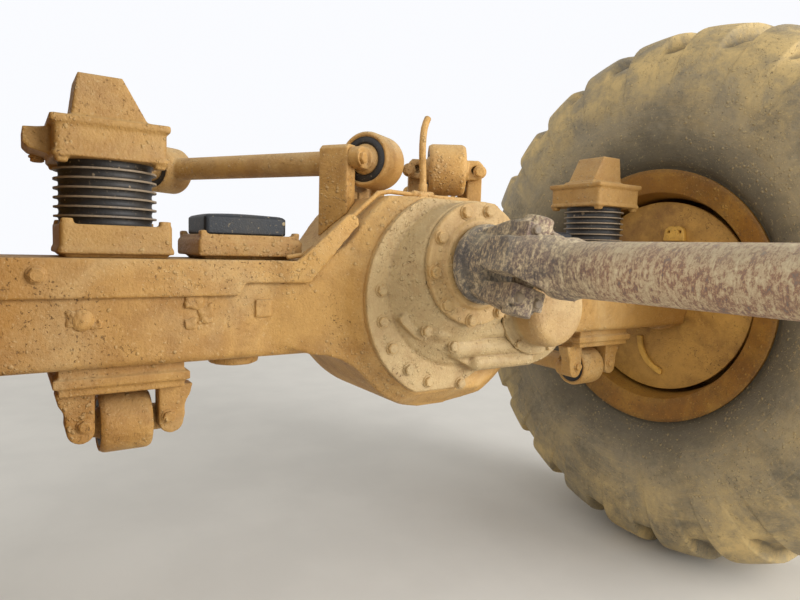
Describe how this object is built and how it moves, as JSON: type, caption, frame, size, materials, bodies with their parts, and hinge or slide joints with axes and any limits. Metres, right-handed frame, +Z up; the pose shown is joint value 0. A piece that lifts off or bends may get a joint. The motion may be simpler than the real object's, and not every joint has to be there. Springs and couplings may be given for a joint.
{
  "type": "through-drive axle with wheels",
  "caption": "Drive axle of an articulated hauler: box beam housing, gear carrier, cardan shaft, rubber springs, torque rods and two large wheels.",
  "frame": {"origin": "centre of the bolt pattern on top of the two saddles, on the centre plane", "axes": "+X forward along the propeller shaft, +Y to the left wheel, +Z up"},
  "size_m": [2.2965, 2.849, 1.6148],
  "materials": {
    "axle_paint": "dusty sand yellow paint, matt",
    "seat_paint": "dusty sand yellow paint, matt",
    "wheel_paint": "golden brown paint, satin under dust",
    "dirty_steel": "rusty steel with baked-on grey mud",
    "pipe_steel": "dusty paint",
    "plate_steel": "dusty plate edges",
    "spring_rubber": "black rubber",
    "stop_rubber": "blue-black rubber, dusty",
    "tyre_rubber": "dusty brown tyre rubber"
  },
  "bodies": {
    "axle": {"housing": "axle_paint", "carrier": "axle_paint", "input_cover": "axle_paint", "bearing_cover": "axle_paint", "rear_case": "axle_paint", "rod_bracket": "axle_paint", "pipes": "pipe_steel", "breather": "pipe_steel", "link_bracket_left": "axle_paint", "upper_rod_left": "axle_paint", "lower_link_left": "axle_paint", "guard_left": "axle_paint", "lower_seat_left": "seat_paint", "spring_left": "spring_rubber", "spring_plates_left": "plate_steel", "upper_seat_left": "seat_paint", "stop_tray_left": "seat_paint", "stop_block_left": "stop_rubber", "shield_left": "wheel_paint", "brake_arm_left": "wheel_paint", "link_bracket_right": "axle_paint", "upper_rod_right": "axle_paint", "lower_link_right": "axle_paint", "guard_right": "axle_paint", "lower_seat_right": "seat_paint", "spring_right": "spring_rubber", "spring_plates_right": "plate_steel", "upper_seat_right": "seat_paint", "stop_tray_right": "seat_paint", "stop_block_right": "stop_rubber", "shield_right": "wheel_paint", "brake_arm_right": "wheel_paint"},
    "input_yoke": {"input_yoke": "dirty_steel"},
    "rear_cross": {"rear_cross": "dirty_steel"},
    "shaft": {"shaft": "dirty_steel"},
    "slip_yoke": {"slip_yoke": "dirty_steel"},
    "front_cross": {"front_cross": "dirty_steel"},
    "front_yoke": {"front_yoke": "dirty_steel"},
    "output_yoke": {"output_yoke": "dirty_steel"},
    "wheel_left": {"rim_left": "wheel_paint", "tyre_left": "tyre_rubber", "hub_left": "wheel_paint", "hub_cover_left": "wheel_paint"},
    "wheel_right": {"rim_right": "wheel_paint", "tyre_right": "tyre_rubber", "hub_right": "wheel_paint", "hub_cover_right": "wheel_paint"}
  },
  "joints": [
    {"name": "wheel_left_spin", "type": "hinge", "parent": "axle", "child": "wheel_left", "pos_m": [0, 1.126, -0.386], "axis": [0, 1, 0], "continuous": true},
    {"name": "wheel_right_spin", "type": "hinge", "parent": "axle", "child": "wheel_right", "pos_m": [0, -1.126, -0.386], "axis": [0, 1, 0], "continuous": true},
    {"name": "drive_spin", "type": "hinge", "parent": "axle", "child": "input_yoke", "pos_m": [0.374, 0, -0.288], "axis": [1, 0, 0], "continuous": true},
    {"name": "rear_cross_turn", "type": "hinge", "parent": "input_yoke", "child": "rear_cross", "pos_m": [0.374, 0, -0.288], "axis": [0, 0.2756, 0.9613], "range_deg": [-20, 20]},
    {"name": "shaft_tilt", "type": "hinge", "parent": "rear_cross", "child": "shaft", "pos_m": [0.374, 0, -0.288], "axis": [0, 0.9613, -0.2756], "range_deg": [-20, 20]},
    {"name": "slip", "type": "slide", "parent": "shaft", "child": "slip_yoke", "axis": [1, 0, 0], "range_m": [-0.025, 0.03]},
    {"name": "front_cross_tilt", "type": "hinge", "parent": "slip_yoke", "child": "front_cross", "pos_m": [1.374, 0, -0.288], "axis": [0, 0.9613, -0.2756], "range_deg": [-20, 20]},
    {"name": "front_yoke_turn", "type": "hinge", "parent": "front_cross", "child": "front_yoke", "pos_m": [1.374, 0, -0.288], "axis": [0, 0.2756, 0.9613], "range_deg": [-20, 20]},
    {"name": "output_spin", "type": "hinge", "parent": "axle", "child": "output_yoke", "pos_m": [-0.28, 0, -0.288], "axis": [1, 0, 0], "continuous": true}
  ]
}
